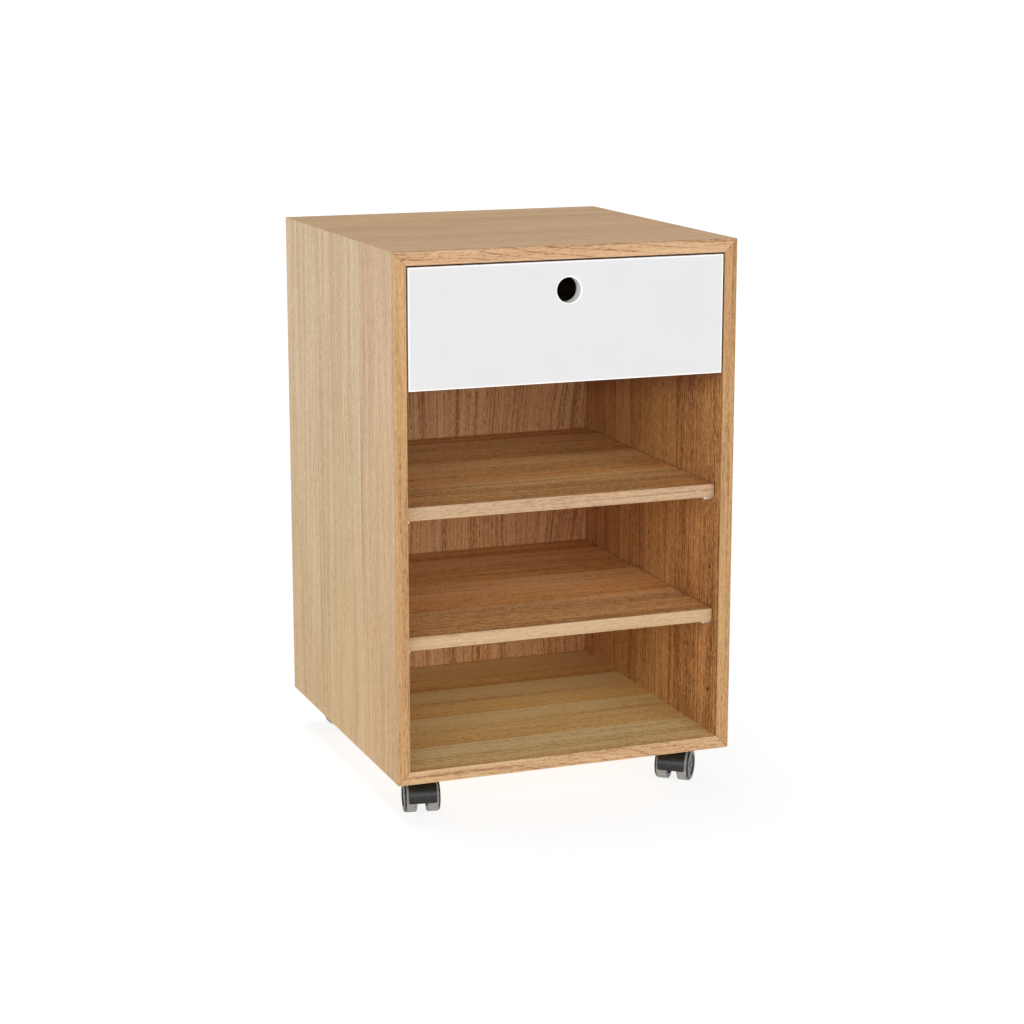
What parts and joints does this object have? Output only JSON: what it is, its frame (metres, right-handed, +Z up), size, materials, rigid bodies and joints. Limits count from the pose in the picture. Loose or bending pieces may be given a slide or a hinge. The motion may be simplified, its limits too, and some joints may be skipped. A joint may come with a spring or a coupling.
{
  "type": "drawer unit",
  "caption": "Office drawer unit on swivel castors: a mitred oak case with an inset white drawer that has a round finger hole, above open shelves that rest on pins.",
  "frame": {"origin": "on the floor under the middle of the case", "axes": "+Z up, -Y out of the open front, so the drawer opens towards -Y, and +X to the right as seen from the front"},
  "size_m": [0.43, 0.44, 0.677],
  "materials": {
    "oak_veneer": "matt oiled oak veneer",
    "oak_lipping": "solid oak edge, oiled",
    "oak_shelf": "matt oiled oak veneer",
    "oak_shelf_lipping": "solid oak edge, oiled",
    "beech": "raw beech",
    "white_lacquer": "satin white lacquer on fibreboard",
    "birch": "clear lacquered birch plywood",
    "white_board": "white faced board",
    "zinc_steel": "bright zinc plated",
    "bearing_steel": "polished bearing steel",
    "pin_steel": "nickel plated",
    "black_nylon": "moulded, fine grain",
    "grey_tread": "soft grey"
  },
  "bodies": {
    "case": {"top_panel": "oak_veneer", "bottom_panel": "oak_veneer", "left_side_panel": "oak_veneer", "right_side_panel": "oak_veneer", "back_panel": "oak_veneer", "mitre_splines": "beech", "top_lipping": "oak_lipping", "bottom_lipping": "oak_lipping", "left_lipping": "oak_lipping", "right_lipping": "oak_lipping", "left_case_rail": "zinc_steel", "right_case_rail": "zinc_steel", "case_rail_screws": "zinc_steel", "lower_shelf_pins": "pin_steel", "upper_shelf_pins": "pin_steel", "castor_inserts": "zinc_steel", "castor_stems": "zinc_steel"},
    "drawer": {"drawer_front": "white_lacquer", "drawer_back": "birch", "drawer_left_side": "birch", "drawer_right_side": "birch", "drawer_floor": "white_board", "drawer_dowels": "beech", "left_drawer_rail": "zinc_steel", "right_drawer_rail": "zinc_steel", "drawer_rail_screws": "zinc_steel"},
    "left_middle_rail": {"left_middle_rail": "zinc_steel"},
    "right_middle_rail": {"right_middle_rail": "zinc_steel"},
    "left_outer_ball_cage": {"left_outer_ball_cage": "bearing_steel"},
    "left_inner_ball_cage": {"left_inner_ball_cage": "bearing_steel"},
    "right_outer_ball_cage": {"right_outer_ball_cage": "bearing_steel"},
    "right_inner_ball_cage": {"right_inner_ball_cage": "bearing_steel"},
    "upper_shelf": {"upper_shelf": "oak_shelf", "upper_shelf_lipping": "oak_shelf_lipping"},
    "lower_shelf": {"lower_shelf": "oak_shelf", "lower_shelf_lipping": "oak_shelf_lipping"},
    "front_left_castor": {"front_left_castor_housing": "black_nylon", "front_left_castor_axle": "bearing_steel"},
    "front_left_left_wheel": {"front_left_castor_left_wheel": "black_nylon", "front_left_castor_left_tread": "grey_tread"},
    "front_left_right_wheel": {"front_left_castor_right_wheel": "black_nylon", "front_left_castor_right_tread": "grey_tread"},
    "front_right_castor": {"front_right_castor_housing": "black_nylon", "front_right_castor_axle": "bearing_steel"},
    "front_right_left_wheel": {"front_right_castor_left_wheel": "black_nylon", "front_right_castor_left_tread": "grey_tread"},
    "front_right_right_wheel": {"front_right_castor_right_wheel": "black_nylon", "front_right_castor_right_tread": "grey_tread"},
    "back_left_castor": {"back_left_castor_housing": "black_nylon", "back_left_castor_axle": "bearing_steel"},
    "back_left_left_wheel": {"back_left_castor_left_wheel": "black_nylon", "back_left_castor_left_tread": "grey_tread"},
    "back_left_right_wheel": {"back_left_castor_right_wheel": "black_nylon", "back_left_castor_right_tread": "grey_tread"},
    "back_right_castor": {"back_right_castor_housing": "black_nylon", "back_right_castor_axle": "bearing_steel"},
    "back_right_left_wheel": {"back_right_castor_left_wheel": "black_nylon", "back_right_castor_left_tread": "grey_tread"},
    "back_right_right_wheel": {"back_right_castor_right_wheel": "black_nylon", "back_right_castor_right_tread": "grey_tread"}
  },
  "joints": [
    {"name": "drawer_slide", "type": "slide", "parent": "case", "child": "drawer", "axis": [0, -1, 0], "range_m": [0, 0.39]},
    {"name": "left_middle_rail_slide", "type": "slide", "parent": "case", "child": "left_middle_rail", "axis": [0, -1, 0], "range_m": [0, 0.195]},
    {"name": "left_outer_ball_cage_slide", "type": "slide", "parent": "case", "child": "left_outer_ball_cage", "axis": [0, -1, 0], "range_m": [0, 0.0975]},
    {"name": "left_inner_ball_cage_slide", "type": "slide", "parent": "case", "child": "left_inner_ball_cage", "axis": [0, -1, 0], "range_m": [0, 0.2925]},
    {"name": "right_middle_rail_slide", "type": "slide", "parent": "case", "child": "right_middle_rail", "axis": [0, -1, 0], "range_m": [0, 0.195]},
    {"name": "right_outer_ball_cage_slide", "type": "slide", "parent": "case", "child": "right_outer_ball_cage", "axis": [0, -1, 0], "range_m": [0, 0.0975]},
    {"name": "right_inner_ball_cage_slide", "type": "slide", "parent": "case", "child": "right_inner_ball_cage", "axis": [0, -1, 0], "range_m": [0, 0.2925]},
    {"name": "upper_shelf_slide", "type": "slide", "parent": "case", "child": "upper_shelf", "axis": [0, -1, 0], "range_m": [0, 0.425]},
    {"name": "lower_shelf_slide", "type": "slide", "parent": "case", "child": "lower_shelf", "axis": [0, -1, 0], "range_m": [0, 0.425]},
    {"name": "front_left_swivel", "type": "hinge", "parent": "case", "child": "front_left_castor", "pos_m": [-0.171, -0.168, 0], "axis": [0, 0, 1], "continuous": true},
    {"name": "front_left_left_wheel_spin", "type": "hinge", "parent": "front_left_castor", "child": "front_left_left_wheel", "pos_m": [-0.17367, -0.18174, 0.02], "axis": [0.9816, -0.1908, 0], "continuous": true},
    {"name": "front_left_right_wheel_spin", "type": "hinge", "parent": "front_left_castor", "child": "front_left_right_wheel", "pos_m": [-0.17367, -0.18174, 0.02], "axis": [0.9816, -0.1908, 0], "continuous": true},
    {"name": "front_right_swivel", "type": "hinge", "parent": "case", "child": "front_right_castor", "pos_m": [0.171, -0.168, 0], "axis": [0, 0, 1], "continuous": true},
    {"name": "front_right_left_wheel_spin", "type": "hinge", "parent": "front_right_castor", "child": "front_right_left_wheel", "pos_m": [0.16219, -0.17888, 0.02], "axis": [0.7771, -0.6293, 0], "continuous": true},
    {"name": "front_right_right_wheel_spin", "type": "hinge", "parent": "front_right_castor", "child": "front_right_right_wheel", "pos_m": [0.16219, -0.17888, 0.02], "axis": [0.7771, -0.6293, 0], "continuous": true},
    {"name": "back_left_swivel", "type": "hinge", "parent": "case", "child": "back_left_castor", "pos_m": [-0.171, 0.168, 0], "axis": [0, 0, 1], "continuous": true},
    {"name": "back_left_left_wheel_spin", "type": "hinge", "parent": "back_left_castor", "child": "back_left_left_wheel", "pos_m": [-0.15831, 0.17392, 0.02], "axis": [-0.4226, 0.9063, 0], "continuous": true},
    {"name": "back_left_right_wheel_spin", "type": "hinge", "parent": "back_left_castor", "child": "back_left_right_wheel", "pos_m": [-0.15831, 0.17392, 0.02], "axis": [-0.4226, 0.9063, 0], "continuous": true},
    {"name": "back_right_swivel", "type": "hinge", "parent": "case", "child": "back_right_castor", "pos_m": [0.171, 0.168, 0], "axis": [0, 0, 1], "continuous": true},
    {"name": "back_right_left_wheel_spin", "type": "hinge", "parent": "back_right_castor", "child": "back_right_left_wheel", "pos_m": [0.17962, 0.15697, 0.02], "axis": [0.788, 0.6157, 0], "continuous": true},
    {"name": "back_right_right_wheel_spin", "type": "hinge", "parent": "back_right_castor", "child": "back_right_right_wheel", "pos_m": [0.17962, 0.15697, 0.02], "axis": [0.788, 0.6157, 0], "continuous": true}
  ],
  "couplings": [
    {"joint": "left_middle_rail_slide", "follows": "drawer_slide", "ratio": 0.5},
    {"joint": "left_outer_ball_cage_slide", "follows": "drawer_slide", "ratio": 0.25},
    {"joint": "left_inner_ball_cage_slide", "follows": "drawer_slide", "ratio": 0.75},
    {"joint": "right_middle_rail_slide", "follows": "drawer_slide", "ratio": 0.5},
    {"joint": "right_outer_ball_cage_slide", "follows": "drawer_slide", "ratio": 0.25},
    {"joint": "right_inner_ball_cage_slide", "follows": "drawer_slide", "ratio": 0.75}
  ]
}
